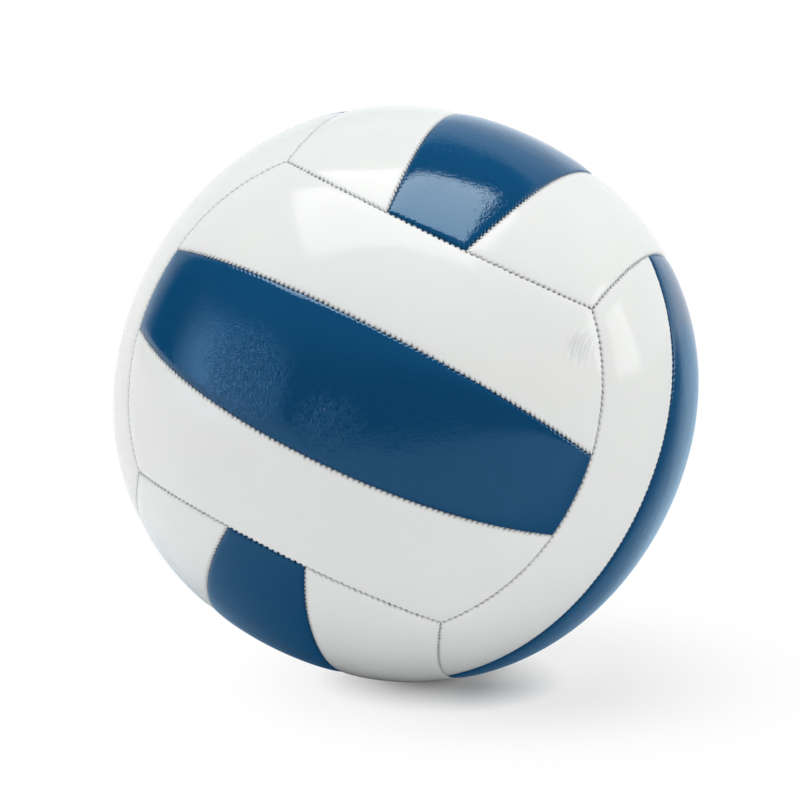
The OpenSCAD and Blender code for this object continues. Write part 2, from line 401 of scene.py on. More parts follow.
def polar_ring(radius, count):
    """Unit vectors of a circle round the middle of the +Z face, anticlockwise."""
    turn = math.pi * (-0.75) + np.arange(count) * 2 * math.pi / count
    lean = radius / BALL_R
    return np.stack([
        math.sin(lean) * np.cos(turn), math.sin(lean) * np.sin(turn),
        np.full(count, math.cos(lean)),
    ], -1)


def zip_loops(shell, outer, inner):
    """Triangles between two closed lines, matched by their turn round the valve."""
    places = np.concatenate(shell.directions)

    def turns(numbers):
        return np.unwrap(np.arctan2(places[numbers, 1], places[numbers, 0]))

    a, b = turns(outer), turns(inner)
    shift = int(np.argmin(np.abs(np.angle(np.exp(1j * (b - a[0]))))))
    inner = np.roll(inner, -shift)
    b = turns(inner)
    b = b - 2 * math.pi * round((b[0] - a[0]) / (2 * math.pi))
    a = np.append(a, a[0] + 2 * math.pi)
    b = np.append(b, b[0] + 2 * math.pi)
    outer = np.append(outer, outer[0])
    inner = np.append(inner, inner[0])
    return zip_lines(outer, inner, a, b)


def hole_rings(shell, loop, rows):
    """Rings from the cut-out down into the valve's hole. Returns the last ring."""
    for radius, depth in rows:
        first = shell.add_points(
            polar_ring(radius, HOLE_POINTS), np.full(HOLE_POINTS, depth),
            np.full(HOLE_POINTS, MID_PANEL),
        )
        circle_numbers = first + np.arange(HOLE_POINTS)
        shell.join(zip_loops(shell, loop, circle_numbers))
        loop = circle_numbers
    return loop


def skin_shell(kind, valve=False):
    """A skin: its rolled face, its wall, its hem, and its inner face."""
    shell = Shell(kind)
    stitches = KINDS[kind]["stitches"]
    nu, nv = KINDS[kind]["grid"]
    fine = tuple(PER_STITCH * n for n in stitches)
    coarse, iu, iv = under_grid(kind)

    # Outer face, from the seam inwards
    phase = np.concatenate([
        (np.arange(PER_STITCH * n) / PER_STITCH) % 1.0 for n in stitches
    ])
    spread, least, most = PULL
    pull = np.clip(RNG.normal(1.0, spread, sum(stitches)), least, most)
    pull = np.repeat(pull, PER_STITCH)
    hole = pull * (0.5 - 0.5 * np.cos(2 * math.pi * phase)) ** 2
    rings = []
    for inset in FINE_INSETS:
        uv = ring(kind, GAP + inset, fine, CORNER + 0.6 * inset)
        dimple = PUCKER * hole * math.exp(-((inset / PUCKER_W) ** 2)) * uv[:, 3]
        # Painted shade: mark is how dark the colour is painted round each stitch hole, where the
        # hole lies in shadow
        mark = hole * math.exp(-((inset / HOLE_SHADE_W) ** 2))
        rings.append(shell.add(uv[:, :2], extra=dimple, hole=mark))
    for a, b in zip(rings[:-1], rings[1:]):
        shell.join(zip_sides(ring_sides(a, fine), ring_sides(b, fine)))
    middle = shell.add(inner_grid(kind, GRID_INSET, nu, nv))
    shell.join(zip_sides(ring_sides(rings[-1], fine), grid_sides(middle, nu, nv)))
    shell.join(grid_faces(middle, nu, nv, FACE_CUT if valve else None))

    # Wall, hem and inner face: distance from the wall, and a depth of its own, or else a
    # depth below the rolled face
    inner = []
    for inset, depth, extra in (
        (0.02, HEM_FOOT, 0), (HEM, HEM_FOOT, 0), (HEM + 0.04, 1.5, 0),
        (1.4, None, SKIN), (GRID_INSET, None, SKIN),
    ):
        uv = ring(kind, GAP + inset, coarse, CORNER + 0.3)
        inner.append(shell.add(uv[:, :2], depth, extra))
    shell.join(zip_sides(ring_sides(inner[0], coarse), ring_sides(rings[0], fine)))
    for a, b in zip(inner[:-1], inner[1:]):
        shell.join(zip_sides(ring_sides(a, coarse), ring_sides(b, coarse)), True)
    under = shell.add(inner_grid(kind, UNDER_INSET, iu, iv), extra=SKIN)
    shell.join(zip_sides(ring_sides(inner[-1], coarse), grid_sides(under, iu, iv)), True)
    shell.join(grid_faces(under, iu, iv, UNDER_CUT if valve else None), True)
    if valve:
        rim = hole_rings(shell, hole_loop(middle, nu, nv, FACE_CUT), (
            (HOLE_R + 1.6, 0.0), (HOLE_R + 0.8, 0.03), (HOLE_R + 0.3, 0.12),
            (HOLE_R, 0.32), (HOLE_R, SKIN),
        ))
        shell.join(zip_loops(shell, hole_loop(under, iu, iv, UNDER_CUT), rim), True)
    return shell.done()


def pad_shell(kind, top, foot, valve=False):
    """A foam pad or a lining: a closed layer between two depths inside the hem.

    A top that lies under the skin, as a foam pad's does, follows the rolled face.
    """
    shell = Shell(kind)
    coarse, iu, iv = under_grid(kind)
    side = HEM + 0.1
    level = None if top < 1 else top
    rings = []
    for inset, depth, extra in (
        (GRID_INSET, foot, 0), (side, foot, 0), (side, max(top, 1.6), 0),
        (1.5, level, SKIN + 2 * PLAY), (GRID_INSET, level, SKIN + PLAY),
    ):
        uv = ring(kind, GAP + inset, coarse, CORNER + 0.3)
        rings.append(shell.add(uv[:, :2], depth, extra))
    for a, b in zip(rings[:-1], rings[1:]):
        shell.join(zip_sides(ring_sides(a, coarse), ring_sides(b, coarse)))
    loops = []
    for rim, depth, over in ((rings[-1], level, False), (rings[0], foot, True)):
        grid = shell.add(inner_grid(kind, UNDER_INSET, iu, iv), depth, SKIN + PLAY)
        shell.join(zip_sides(ring_sides(rim, coarse), grid_sides(grid, iu, iv)), over)
        shell.join(grid_faces(grid, iu, iv, UNDER_CUT if valve else None), over)
        loops.append(hole_loop(grid, iu, iv, UNDER_CUT))
    if valve:
        rim = hole_rings(shell, loops[0], ((HOLE_R, top), (HOLE_R, foot)))
        shell.join(zip_loops(shell, loops[1], rim), True)
    return shell.done()


# Where the sewing pulled the ends of strips along a seam: (middle of the seam, slide in
# radians, reach of the slide in radians)
SLIDES = (
    ((0, 1, 1), (0.0175, 0, 0), 0.26),
    ((0, -1, 1), (-0.031, 0, 0), 0.26),
)


def slid(directions):
    """Unit vectors after the small slides of the sewing."""
    moved = directions.copy()
    for middle, slide, reach in SLIDES:
        middle = np.array(middle) / np.linalg.norm(middle)
        away = np.arccos(np.clip(directions @ middle, -1, 1))
        share = np.exp(-((away / reach) ** 2) / 2)[:, None]
        moved = moved + share * np.array(slide)
    return moved / np.linalg.norm(moved, axis=1, keepdims=True)


def shape(directions):
    """Radius of the ball over its panels in each direction of its own frame."""
    x, y, z = directions[:, 0], directions[:, 1], directions[:, 2]
    return BALL_R * (1 - SAG * (x**4 + y**4 + z**4 - 0.6) + SKEW * x * y)


def to_world(points):
    """Millimetres in the ball's frame to metres as it lies on the floor."""
    return (points @ AT_REST.T + np.array([0, 0, SINK])) * MM


# Objects and materials

def new_object(name, points, faces, material, marks=None):
    """A mesh object that rides on the ball's body."""
    mesh = bpy.data.meshes.new(name)
    mesh.from_pydata(np.asarray(points).tolist(), [], np.asarray(faces).tolist())
    mesh.validate()
    mesh.shade_smooth()
    for mark, values in (marks or {}).items():
        layer = mesh.attributes.new(mark, "FLOAT", "POINT")
        layer.data.foreach_set("value", np.asarray(values, np.float32))
    mesh.materials.append(material)
    obj = bpy.data.objects.new(name, mesh)
    bpy.context.scene.collection.objects.link(obj)
    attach(obj, "root")
    return obj


def new_material(name):
    material = bpy.data.materials.new(name)
    material.use_nodes = True
    nodes = material.node_tree.nodes
    nodes.clear()
    out = nodes.new("ShaderNodeOutputMaterial")
    shader = nodes.new("ShaderNodeBsdfPrincipled")
    material.node_tree.links.new(shader.outputs[0], out.inputs["Surface"])
    return material, shader


def add_node(material, kind, values=None, links=None, **settings):
    """A node with its settings, socket values and incoming links."""
    node = material.node_tree.nodes.new(kind)
    for key, value in settings.items():
        setattr(node, key, value)
    for key, value in (values or {}).items():
        node.inputs[key].default_value = value
    for key, source in (links or {}).items():
        material.node_tree.links.new(source, node.inputs[key])
    return node


def feed(material, shader, socket, source):
    """Links a source to a socket of the material's shader."""
    material.node_tree.links.new(source, shader.inputs[socket])


def object_place(material):
    return add_node(material, "ShaderNodeTexCoord").outputs["Object"]


def noise(material, place, scale, detail=2.0, rough=0.5, distort=0.0):
    return add_node(
        material, "ShaderNodeTexNoise",
        {"Scale": scale, "Detail": detail, "Roughness": rough, "Distortion": distort},
        {"Vector": place},
    ).outputs["Fac"]


def ramp(material, fac, stops):
    node = add_node(material, "ShaderNodeValToRGB", None, {"Fac": fac})
    elements = node.color_ramp.elements
    while len(elements) < len(stops):
        elements.new(0.5)
    for element, (position, colour) in zip(elements, stops):
        element.position = position
        element.color = (*colour, 1)
    return node.outputs["Color"]


def bump(material, height, distance, strength=1.0, under=None):
    links = {"Height": height}
    if under is not None:
        links["Normal"] = under
    return add_node(
        material, "ShaderNodeBump", {"Distance": distance, "Strength": strength}, links,
    ).outputs["Normal"]


# Where the skins are creased most: place in metres, radius, and depth of the creases there
CREASED = (
    ((-0.0560, -0.0820, 0.0265), 0.024, 1.1),
    ((-0.0259, -0.0984, 0.0119), 0.018, 1.1),
    ((0.0081, -0.0591, 0.0857), 0.010, 0.25),
)
# One place has ripples, which run round a centre beside it: place and radius, and the centre
RIPPLED = ((0.0590, -0.0803, 0.0352), 0.0085)
RIPPLE_CENTRE = (0.0712, -0.0732, 0.0260)
RIPPLE_PITCH = 0.0030
RIPPLE_RELIEF = 0.00036


def value_math(material, operation, a, b=0.0):
    """Joins two values, each a number or a socket."""
    values = {i: v for i, v in enumerate((a, b)) if isinstance(v, (int, float))}
    links = {i: v for i, v in enumerate((a, b)) if i not in values}
    return add_node(material, "ShaderNodeMath", values, links, operation=operation).outputs[0]


def value_range(material, value, start, stop, low, high, way="SMOOTHSTEP"):
    """A change from low to high while a value goes from start to stop."""
    return add_node(
        material, "ShaderNodeMapRange",
        {"From Min": start, "From Max": stop, "To Min": low, "To Max": high},
        {"Value": value}, interpolation_type=way,
    ).outputs[0]


def from_point(material, place, centre):
    """Distance from a point."""
    return add_node(
        material, "ShaderNodeVectorMath", {1: centre}, {0: place}, operation="DISTANCE",
    ).outputs["Value"]


def spot(material, place, centre, radius, level=1.0):
    """Some level at a place and nothing past the radius."""
    away = from_point(material, place, centre)
    return value_range(material, away, 0.2 * radius, radius, level, 0.0)


def leather(
    name, colour, dark, rough, ior, grain, tint=(1, 1, 1), sheen=0.0, sheen_tint=(1, 1, 1),
):
    """Glossy synthetic leather, creased in places. Grain scales its fine relief."""
    material, shader = new_material(name)
    place = object_place(material)

    # Colour: a little lighter and darker over the panel, with painted shade down in the seams and
    # in the stitch holes
    cloud = noise(material, place, 26, 3)
    base = ramp(material, cloud, ((0.3, dark), (0.7, colour)))
    # Painted shade: the colour darkens near the seams' walls and in the stitch holes, where the
    # grooves lie in shadow
    near = add_node(material, "ShaderNodeAttribute", attribute_name="seam_distance")
    seam_shade = value_range(material, near.outputs["Fac"], 0.08, 0.35, 0.3, 0.0, "LINEAR")
    hole_shades = add_node(material, "ShaderNodeAttribute", attribute_name="hole")
    seam_shade = value_math(material, "MAXIMUM", seam_shade, hole_shades.outputs["Fac"])
    seam_shade_colour = (*[0.12 * value for value in dark], 1)
    mixed = add_node(
        material, "ShaderNodeMix", {7: seam_shade_colour}, {0: seam_shade, 6: base}, data_type="RGBA",
    )
    feed(material, shader, "Base Color", mixed.outputs[2])

    # Gloss: fine changes in roughness
    fine = noise(material, place, 900, 2)
    gloss = value_range(material, fine, 0.3, 0.7, rough - 0.02, rough + 0.05, "LINEAR")
    feed(material, shader, "Roughness", gloss)
    shader.inputs["IOR"].default_value = ior
    shader.inputs["Specular Tint"].default_value = (*tint, 1)
    shader.inputs["Sheen Weight"].default_value = sheen
    shader.inputs["Sheen Roughness"].default_value = 0.5
    shader.inputs["Sheen Tint"].default_value = (*sheen_tint, 1)

    # Relief: swells of the padding, creases, ripples, pebbles and fine grain
    swell = noise(material, place, 55, 2)
    normal = bump(material, swell, 0.00025)
    folds = noise(material, place, 430, 2, 0.55, 1.0)
    folds = ramp(material, folds, ((0.36, (1, 1, 1)), (0.5, (0, 0, 0)), (0.64, (1, 1, 1))))
    patches = noise(material, place, 34, 1)
    where = ramp(material, patches, ((0.50, [0.08] * 3), (0.66, [0.22] * 3)))
    for creased in CREASED:
        where = value_math(material, "MAXIMUM", where, spot(material, place, *creased))
    creases = value_math(material, "MULTIPLY", where, folds)
    normal = bump(material, creases, 0.00011 * grain, 1.0, normal)
    waver = value_math(material, "MULTIPLY", noise(material, place, 150, 2), 0.6 * RIPPLE_PITCH)
    turns = value_math(material, "ADD", from_point(material, place, RIPPLE_CENTRE), waver)
    turns = value_math(material, "MULTIPLY", turns, math.tau / RIPPLE_PITCH)
    waves = value_math(material, "SINE", turns)
    ripples = value_math(material, "MULTIPLY", waves, spot(material, place, *RIPPLED))
    normal = bump(material, ripples, RIPPLE_RELIEF, 1.0, normal)
    pebbles = add_node(
        material, "ShaderNodeTexVoronoi", {"Scale": 850}, {"Vector": place},
        feature="SMOOTH_F1",
    ).outputs["Distance"]
    normal = bump(material, pebbles, 0.00002 * grain, 1.0, normal)
    speckle = noise(material, place, 1100, 2)
    normal = bump(material, speckle, 0.00003 * grain, 1.0, normal)
    feed(material, shader, "Normal", normal)
    return material


def cloth_like(name, colour, dark, scale, rough, depth):
    """A plain matt material with a grain: foam, thread or rubber."""
    material, shader = new_material(name)
    place = object_place(material)
    base = ramp(material, noise(material, place, scale / 6, 3), ((0.3, dark), (0.7, colour)))
    feed(material, shader, "Base Color", base)
    shader.inputs["Roughness"].default_value = rough
    cells = add_node(
        material, "ShaderNodeTexVoronoi", {"Scale": scale}, {"Vector": place},
    ).outputs["Distance"]
    normal = bump(material, cells, depth)
    feed(material, shader, "Normal", normal)
    return material


def woven(name, colour, dark):
    """Plain woven cloth, of two crossing sets of yarns."""
    material, shader = new_material(name)
    place = object_place(material)
    yarns = []
    for direction in ("X", "Y"):
        yarns.append(add_node(
            material, "ShaderNodeTexWave", {"Scale": 260, "Distortion": 0.6},
            {"Vector": place}, bands_direction=direction,
        ).outputs["Fac"])
    weave = value_math(material, "MAXIMUM", *yarns)
    base = ramp(material, weave, ((0.2, dark), (0.8, colour)))
    feed(material, shader, "Base Color", base)
    shader.inputs["Roughness"].default_value = 0.85
    normal = bump(material, weave, 0.0001)
    feed(material, shader, "Normal", normal)
    return material


WHITE = leather("white_leather", (0.80, 0.81, 0.79), (0.78, 0.79, 0.775), 0.05, 1.23, 0.3)
BLUE = leather(
    "blue_leather", (0.0045, 0.053, 0.136), (0.0040, 0.049, 0.126), 0.05, 1.47, 1.0,
    (0.6, 0.85, 1.0), 0.2, (0.0, 0.4, 1.0),
)
THREAD = cloth_like("white_thread", (0.62, 0.63, 0.64), (0.45, 0.46, 0.48), 2400, 0.7, 0.00012)
FOAM = cloth_like("pale_foam", (0.72, 0.72, 0.70), (0.64, 0.64, 0.62), 1500, 0.9, 0.0002)
LINING = woven("lining_cloth", (0.72, 0.69, 0.62), (0.5, 0.47, 0.41))
BLADDER = cloth_like(
    "bladder_rubber", (0.03, 0.03, 0.032), (0.02, 0.02, 0.022), 700, 0.45, 0.00004,
)
RUBBER = cloth_like(
    "valve_rubber", (0.028, 0.028, 0.03), (0.018, 0.018, 0.02), 1400, 0.6, 0.00005,
)

# The eighteen panels, each of skin, foam and lining

def panel_turn(turn, flip, strip):
    """Turn of a strip drawn as a middle or upper strip on the +Z face."""
    half = turned((0, 0, 1), 180) if strip < 0 else np.eye(3)
    return face_turn(turn, flip) @ half


LAYERS = {
    "skin": skin_shell,
    "foam": lambda kind, valve=False: pad_shell(kind, SKIN + PLAY, FOAM_FOOT, valve),
    "lining": lambda kind, valve=False: pad_shell(kind, FOAM_FOOT, COVER, valve),
}
built = {}
for face, (turn, flip) in FACES.items():
    for strip_name, strip in STRIPS.items():
        kind = "middle" if strip == 0 else "side"
        valve = face == "back" and strip == 0
        for layer, make in LAYERS.items():
            key = (layer, kind, valve)
            if key not in built:
                built[key] = make(kind, valve)
            directions, depths, marks, faces = built[key]
            directions = slid(directions @ panel_turn(turn, flip, strip).T)
            radius = shape(directions) - depths
            if layer == "skin":
                material = BLUE if strip == 0 else WHITE
                slot = "blue_skin" if strip == 0 else "white_skin"
            else:
                material = FOAM if layer == "foam" else LINING
                slot = layer
            node = f"{face}_{strip_name}_{layer}"
            piece = new_object(
                "panel_" + node, to_world(directions * radius[:, None]), faces, material,
                marks if layer == "skin" else None,
            )
            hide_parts(node)
            if layer == "lining":
                long, wide = (float(sizes.max()) * MM for sizes in LENGTHS[kind])

# Sewing thread: one stitch after another down in the grooves of the seams

def stitch_mesh(sides=8, rows=7):
    """Points and faces of one stitch, a short fat bean along X."""
    length, width, height = STITCH_SIZE
    points, faces = [(-length / 2, 0, 0)], []
    for row in range(1, rows):
        t = math.pi * row / rows
        x = -length / 2 * math.cos(t)
        fat = math.sin(t) ** 0.6
        for side in range(sides):
            turn = 2 * math.pi * side / sides
            points.append((
                x, width / 2 * fat * math.cos(turn), height / 2 * fat * math.sin(turn),
            ))
    points.append((length / 2, 0, 0))
    last = len(points) - 1
    for side in range(sides):
        after = (side + 1) % sides
        faces.append((0, 1 + after, 1 + side))
        faces.append((last, last - sides + side, last - sides + after))
        for row in range(rows - 2):
            a = 1 + row * sides + side
            b = 1 + row * sides + after
            faces.append((a, b, b + sides))
            faces.append((a, b + sides, a + sides))
    return np.array(points), np.array(faces)


def sewn(seams, count, half_turn):
    """Points and faces of the stitches along several seams. A seam gives its unit vectors."""
    bean, bean_faces = stitch_mesh()
    points, faces = [], []
    for seam, place in seams:
        # A stitch lies between two holes, and the first hole is half a stitch from the end
        for number in range(1, count):
            middle = -half_turn + 2 * half_turn * number / count
            ends = slid(seam(np.array([middle - 0.002, middle + 0.002])) @ place.T)
            out = ends.mean(0)
            out = out / np.linalg.norm(out)
            along = ends[1] - ends[0]
            along = along / np.linalg.norm(along)
            radius = shape(out[None])[0] - STITCH_DEPTH + RNG.normal(0, UNEVEN)
            lean = math.radians(RNG.normal(*STITCH_LEAN))
            across = np.cross(out, along)
            run = math.cos(lean) * along + math.sin(lean) * across
            across = np.cross(out, run)
            turn = np.stack([run, across, out])
            size = 1 + RNG.normal(0, UNEVEN)
            faces.append(bean_faces + len(points) * len(bean))
            points.append(out * radius + size * bean @ turn)
    return to_world(np.concatenate(points)), np.concatenate(faces)


all_faces = [face_turn(*FACES[face]) for face in FACES]
strip_seams = [
    (lambda t, way=way: strip_seam(way, t), place) for place in all_faces for way in (-1, 1)
]
edge_seams = [
    (lambda t, way=way: end_seam(way, t), place) for place in all_faces for way in (-1, 1)
]
for node, seams, count, half_turn in (
    ("strip_seam_thread", strip_seams, STRIP_STITCHES, STRIP_TURN),
    ("edge_seam_thread", edge_seams, EDGE_STITCHES, END_TURN),
):
    points, faces = sewn(seams, count, half_turn)
    piece = new_object("sewn_" + node, points, faces, THREAD)
    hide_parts(node)

# Bladder and valve, turned about the middle of the back face

VALVE_TURN = face_turn(0, 1)
POLE = np.array([[0.0, 0.0, -1.0]])
TOP_R = float(shape(POLE)[0])
SPOKES = 64
SPOKE_TURNS = np.arange(SPOKES) * 2 * math.pi / SPOKES
FAR_POLE = 179.6        # degrees from the valve to the last ring of the bladder
BLADDER_RINGS = 72


def turned_faces(count):
    """Faces of a turned body whose rows of points close on themselves."""
    faces = []
    for row in range(count):
        a = row * SPOKES
        b = (row + 1) % count * SPOKES
        for side in range(SPOKES):
            after = (side + 1) % SPOKES
            faces.append((a + side, b + side, b + after))
            faces.append((a + side, b + after, a + after))
    return np.array(faces)


def round_rings(depth, start, stop, steps):
    """Turned rings at a depth below the panels; start and stop are angles from the valve."""
    return [(math.radians(angle), depth) for angle in np.linspace(start, stop, steps)]


def bladder_mesh():
    """A closed bladder, open only where the valve housing is bonded in."""
    rim = math.degrees((HOLE_R + PLAY) / TOP_R)
    rows = round_rings(COVER + PLAY, rim, FAR_POLE, BLADDER_RINGS)
    rows += round_rings(BLADDER_FOOT, FAR_POLE, rim, BLADDER_RINGS)
    directions, depths = [], []
    for angle, depth in rows:
        for t in SPOKE_TURNS:
            directions.append((
                math.sin(angle) * math.cos(t), math.sin(angle) * math.sin(t), math.cos(angle),
            ))
            depths.append(depth)
    directions = np.array(directions) @ VALVE_TURN.T
    points = directions * (shape(directions) - np.array(depths))[:, None]
    return to_world(points), turned_faces(len(rows))


def valve_piece(profile):
    """A turned valve piece, as it lies in the ball. A profile gives (radius, height)."""
    rings = np.array([
        [(r * math.cos(t), r * math.sin(t), z) for t in SPOKE_TURNS] for r, z in profile
    ])
    return to_world(rings.reshape(-1, 3) @ VALVE_TURN.T), turned_faces(len(profile))


# Heights above the ball's middle: the plug's face, the flange's foot, and the bore's foot
face_z = TOP_R - HEAD_RECESS
shoulder_z = TOP_R - BLADDER_FOOT - FLANGE_T
foot_z = shoulder_z - STEM_L
housing_profile = (
    (HOLE_R, TOP_R - BLADDER_FOOT - 0.05),
    (HOLE_R, shoulder_z),
    (BORE_R, shoulder_z),
    (BORE_R, foot_z),
    (0.02, foot_z),
    (0.02, foot_z - TUBE_FLOOR),
    (TUBE_R - 0.4, foot_z - TUBE_FLOOR),
    (TUBE_R, foot_z - TUBE_FLOOR + 0.4),
    (TUBE_R, shoulder_z - COLLAR_L),
    (COLLAR_R, shoulder_z - COLLAR_L + 0.3),
    (COLLAR_R, shoulder_z - 0.1),
    (FLANGE_R - 1, shoulder_z - 0.8),
    (FLANGE_R, shoulder_z - 0.6),
    (FLANGE_R, TOP_R - BLADDER_FOOT - 0.95),
    (FLANGE_R * 0.7, TOP_R - BLADDER_FOOT - 0.5),
)
plug_profile = (
    (NEEDLE_R, face_z - NEEDLE_L),
    (NEEDLE_R, face_z - FUNNEL),
    (NEEDLE_R + FUNNEL, face_z),
    (NEEDLE_R + FUNNEL + 0.35, face_z + 0.12),
    (NEEDLE_R + FUNNEL + 0.8, face_z),
    (HEAD_R - 0.35, face_z),
    (HEAD_R - 0.1, face_z - 0.1),
    (HEAD_R, face_z - 0.35),
    (HEAD_R, shoulder_z + 0.02),
    (STEM_R, shoulder_z + 0.02),
    (STEM_R, foot_z + 0.5),
    (STEM_R - 0.4, foot_z + 0.03),
    (0.02, foot_z + 0.03),
    (0.02, face_z - NEEDLE_L),
)
for node, mesh, material, slot in (
    ("bladder", bladder_mesh(), BLADDER, "bladder"),
    ("valve_housing", valve_piece(housing_profile), RUBBER, "valve_rubber"),
    ("valve_plug", valve_piece(plug_profile), RUBBER, "valve_rubber"),
):
    piece = new_object("inner_" + node, mesh[0], mesh[1], material)
    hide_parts(node)

# Floor

FLOOR_Z = -CAD_R * MM
FLOOR_HALF = 6
floor_corners = [
    (x * FLOOR_HALF, y * FLOOR_HALF, FLOOR_Z) for x, y in ((-1, -1), (1, -1), (1, 1), (-1, 1))
]
floor_mesh = bpy.data.meshes.new("floor")
floor_mesh.from_pydata(floor_corners, [], [(0, 1, 2, 3)])
floor = bpy.data.objects.new("floor", floor_mesh)
bpy.context.scene.collection.objects.link(floor)
floor_material, floor_shader = new_material("pale_floor")
floor_shader.inputs["Base Color"].default_value = (0.87, 0.87, 0.87, 1)
floor_shader.inputs["Roughness"].default_value = 0.6
floor_shader.inputs["Specular IOR Level"].default_value = 0.1
floor_path = add_node(floor_material, "ShaderNodeLightPath")
floor_place = object_place(floor_material)
floor_split = add_node(floor_material, "ShaderNodeSeparateXYZ", None, {0: floor_place})
floor_x = floor_split.outputs["X"]
floor_y = floor_split.outputs["Y"]


def floor_math(operation, a, b):
    """Joins two values of the floor, each a number or a socket."""
    return value_math(floor_material, operation, a, b)


def floor_range(value, start, stop, low, high):
    """A change of level over the floor."""
    return value_range(floor_material, value, start, stop, low, high)


def floor_spot(x, y, start, stop, low, high):
    """A change of level with the distance from a place on the floor."""
    away = from_point(floor_material, floor_place, (x, y, FLOOR_Z))
    return floor_range(away, start, stop, low, high)


# The floor shows its shadow round the ball's foot and fades into the white backdrop.
# The shadow is the floor's own shading, but white emission covers it for camera rays outside
# two spots round the foot, the wider one set to the right, so its reach and offset are painted
shadow = floor_math(
    "MAXIMUM", floor_spot(0.017, -0.009, 0.006, 0.062, 0.98, 0.0),
    floor_spot(0.045, -0.010, 0.02, 0.120, 0.31, 0.0),
)
seen = floor_path.outputs["Is Camera Ray"]
near_white = floor_math("MULTIPLY", seen, floor_math("SUBTRACT", 1.0, shadow))
seen = floor_math("MAXIMUM", seen, floor_path.outputs["Is Transmission Ray"])
far_white = floor_math("MULTIPLY", seen, floor_spot(0, 0, 0.25, 0.55, 0.0, 1.0))
white_share = floor_math("MAXIMUM", near_white, far_white)
floor_white = add_node(
    floor_material, "ShaderNodeEmission", {"Color": (1, 1, 1, 1), "Strength": 1.0},
)
floor_sum = add_node(
    floor_material, "ShaderNodeMixShader", None,
    {0: white_share, 1: floor_shader.outputs[0], 2: floor_white.outputs[0]},
)

# In the gloss the floor is a glowing emission, not a lit surface, so the ball's reflection of it
# is
# painted: bluish, whiter far behind the ball and behind it to the left, dimmer far in front and
# to the right, and dark round the foot as a painted shadow
in_front = floor_range(floor_y, -2.6, -0.4, 0.45, 1.0)
far_behind = floor_range(floor_y, 0.8, 2.0, 0.0, 1.0)
slanted = floor_math("SUBTRACT", floor_y, floor_math("MULTIPLY", floor_x, 1.2))
behind_left = floor_range(slanted, 0.12, 0.40, 0.0, 1.0)
whiter = floor_math("MAXIMUM", far_behind, behind_left)
gloss_colour = ramp(floor_material, whiter, ((0.0, (0.66, 0.87, 1.0)), (1.0, (1, 1, 1))))
to_left = floor_range(floor_math("SUBTRACT", floor_y, floor_x), -0.20, -0.02, 0.2, 1.15)
ahead = floor_range(floor_y, -0.22, 0.0, 1.15, 0.0)
# Painted shadow: the glow seen in the gloss fades to dark round the ball's foot
gloss_strength = floor_math(
    "MULTIPLY", floor_math("MULTIPLY", in_front, floor_math("MAXIMUM", to_left, ahead)),
    floor_spot(-0.008, -0.03, 0.0, 0.22, 0.0, 0.85),
)
floor_gloss = add_node(
    floor_material, "ShaderNodeEmission", None,
    {"Color": gloss_colour, "Strength": gloss_strength},
)
floor_all = add_node(
    floor_material, "ShaderNodeMixShader", None,
    {0: floor_path.outputs["Is Glossy Ray"], 1: floor_sum.outputs[0], 2: floor_gloss.outputs[0]},
)

# The floor to the left gives matt surfaces a little more light, as a pale card there would
card = floor_math(
    "MULTIPLY", floor_path.outputs["Is Diffuse Ray"],
    floor_spot(-0.32, -0.06, 0.06, 0.34, 0.36, 0.0),
)
floor_card = add_node(
    floor_material, "ShaderNodeEmission", {"Color": (1, 1, 1, 1)}, {"Strength": card},
)
floor_all = add_node(
    floor_material, "ShaderNodeAddShader", None,
    {0: floor_all.outputs[0], 1: floor_card.outputs[0]},
)
floor_out = floor_material.node_tree.nodes["Material Output"]
floor_material.node_tree.links.new(floor_all.outputs[0], floor_out.inputs["Surface"])
floor_mesh.materials.append(floor_material)

# World: a plain soft fill on matt surfaces, strongest from the right, and in the gloss a
# pale backdrop behind the ball, a dim screen and a faint ceiling in a dark room

RIGHT_FILL = 1.98
LEFT_FILL = 1.2
FRONT_FILL = 0.71
BACK_FILL = 0.6
SCREEN_LIGHT = 3.8
CEILING_LIGHT = 0.9

world = bpy.data.worlds.new("studio")
bpy.context.scene.world = world
world.use_nodes = True
world.node_tree.nodes.clear()
path = add_node(world, "ShaderNodeLightPath")
direction = add_node(world, "ShaderNodeTexCoord")
split = add_node(world, "ShaderNodeSeparateXYZ", None, {0: direction.outputs["Generated"]})
to_right, to_back, upward = (split.outputs[axis] for axis in "XYZ")


def fade(source, start, stop, low, high):
    """A smooth change of level along a direction of the room."""
    return value_range(world, source, start, stop, low, high)


def product(a, b):
    return value_math(world, "MULTIPLY", a, b)


def total(a, b):
    return value_math(world, "ADD", a, b)


def aslant(weight):
    """How far a direction points back, plus a share of how far it points right."""
    return add_node(
        world, "ShaderNodeMath", {1: weight}, {0: to_right, 2: to_back},
        operation="MULTIPLY_ADD",
    ).outputs[0]


# Fill from the right, the left, the front and the back, and none from overhead
sides = total(
    fade(to_right, 0.0, 0.9, 0.0, RIGHT_FILL), fade(to_right, -0.9, 0.0, LEFT_FILL, 0.0),
)
ends = total(
    fade(to_back, -0.9, 0.0, FRONT_FILL, 0.0), fade(to_back, 0.0, 0.9, 0.0, BACK_FILL),
)
soft = product(total(sides, ends), fade(upward, 0.3, 0.8, 1.0, 0.0))
fill = add_node(world, "ShaderNodeBackground", {"Color": (1, 1, 1, 1)}, {"Strength": soft})

# Reflections: the backdrop stands behind the ball and to its right
height = product(fade(upward, 0.60, 0.66, 1.0, 0.0), fade(upward, 0.0, 0.5, 1.0, 0.5))
backdrop = product(
    height,
    product(fade(aslant(0.8), -0.05, 0.25, 0.0, 1.0), fade(to_back, 0.0, 0.3, 0.0, 1.0)),
)
room = add_node(
    world, "ShaderNodeBackground", {"Color": (0.88, 0.96, 1, 1)}, {"Strength": backdrop},
)

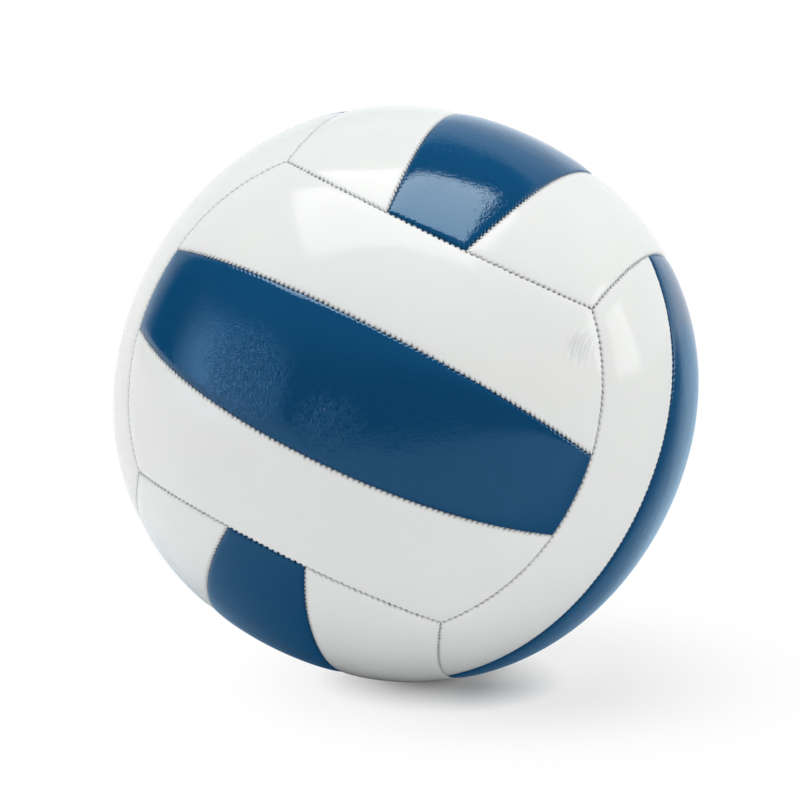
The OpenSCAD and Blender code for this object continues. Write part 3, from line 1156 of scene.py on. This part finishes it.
# A dim screen to the left of the camera, whose edge shows as a change of shade in the gloss
slope = aslant(-0.75)
screen = product(
    product(fade(slope, -0.125, -0.10, 0.0, 1.0), fade(slope, -0.1, 0.5, 0.4, 1.0)),
    product(fade(upward, 0.22, 0.50, 1.0, 0.0), fade(to_back, -0.15, 0.35, 1.0, 0.0)),
)
screen_light = add_node(
    world, "ShaderNodeBackground", {"Color": (0.45, 0.68, 1, 1)},
    {"Strength": product(screen, SCREEN_LIGHT)},
)

# A faint blue glow of the studio's ceiling
ceiling = product(fade(upward, 0.25, 0.6, 0.0, 1.0), fade(to_back, -0.3, 0.3, 1.0, 0.4))
ceiling_light = add_node(
    world, "ShaderNodeBackground", {"Color": (0.1, 0.5, 1, 1)},
    {"Strength": product(ceiling, CEILING_LIGHT)},
)
glossy = add_node(
    world, "ShaderNodeAddShader", None, {0: screen_light.outputs[0], 1: ceiling_light.outputs[0]},
)
glossy = add_node(
    world, "ShaderNodeAddShader", None, {0: room.outputs[0], 1: glossy.outputs[0]},
)
white = add_node(world, "ShaderNodeBackground", {"Color": (1, 1, 1, 1), "Strength": 1.0})
first = add_node(
    world, "ShaderNodeMixShader", None,
    {0: path.outputs["Is Glossy Ray"], 1: fill.outputs[0], 2: glossy.outputs[0]},
)
clear = value_math(
    world, "MAXIMUM", path.outputs["Is Camera Ray"], path.outputs["Is Transmission Ray"],
)
second = add_node(
    world, "ShaderNodeMixShader", None, {0: clear, 1: first.outputs[0], 2: white.outputs[0]},
)
add_node(world, "ShaderNodeOutputWorld", None, {0: second.outputs[0]})

# Soft lights: (name, place, turn in degrees, width, height, radiance, lights matt surfaces,
# seen in gloss)

LIGHTS = (
    ("overhead", (-0.14, 0, 1.0), (0, -8, 0), 1.1, 0.9, 2.6, True, False),
    ("overhead_gloss", (-0.105, -0.032, 1.0), (0, 0, -5), 1.09, 0.74, 6.9, False, True),
    ("right_gloss", (1.2, 0.07, 0.28), (77, 0, 94), 0.38, 0.48, 4.6, False, True),
)
for name, place, turn, wide, tall, radiance, matt, mirrored in LIGHTS:
    lamp = bpy.data.lights.new(name, "AREA")
    lamp.shape = "RECTANGLE"
    lamp.size = wide
    lamp.size_y = tall
    lamp.energy = radiance * math.pi * wide * tall
    light = bpy.data.objects.new(name, lamp)
    light.location = place
    light.rotation_euler = [math.radians(angle) for angle in turn]
    light.visible_diffuse = matt
    light.visible_glossy = mirrored
    bpy.context.scene.collection.objects.link(light)

# Camera at the photograph's viewing angle, for an image of 800 by 800

BALL_CENTRE = Vector((0, 0, SINK * MM))
CAMERA_EL = math.radians(14)
CAMERA_FAR = 18 * BALL_R * MM
CAMERA_FOV = math.radians(8.74)
CAMERA_SHIFT = (-0.008, -0.00775)
camera_data = bpy.data.cameras.new("camera")
camera = bpy.data.objects.new("camera", camera_data)
bpy.context.scene.collection.objects.link(camera)
camera_way = Vector((0, -math.cos(CAMERA_EL), math.sin(CAMERA_EL)))
camera.location = BALL_CENTRE + CAMERA_FAR * camera_way
camera.rotation_euler = (math.radians(90) - CAMERA_EL, 0, 0)
camera_data.sensor_fit = "HORIZONTAL"
camera_data.angle = CAMERA_FOV
camera_data.shift_x, camera_data.shift_y = CAMERA_SHIFT
camera_data.clip_end = 50
bpy.context.scene.camera = camera
bpy.context.scene.view_settings.view_transform = "Standard"
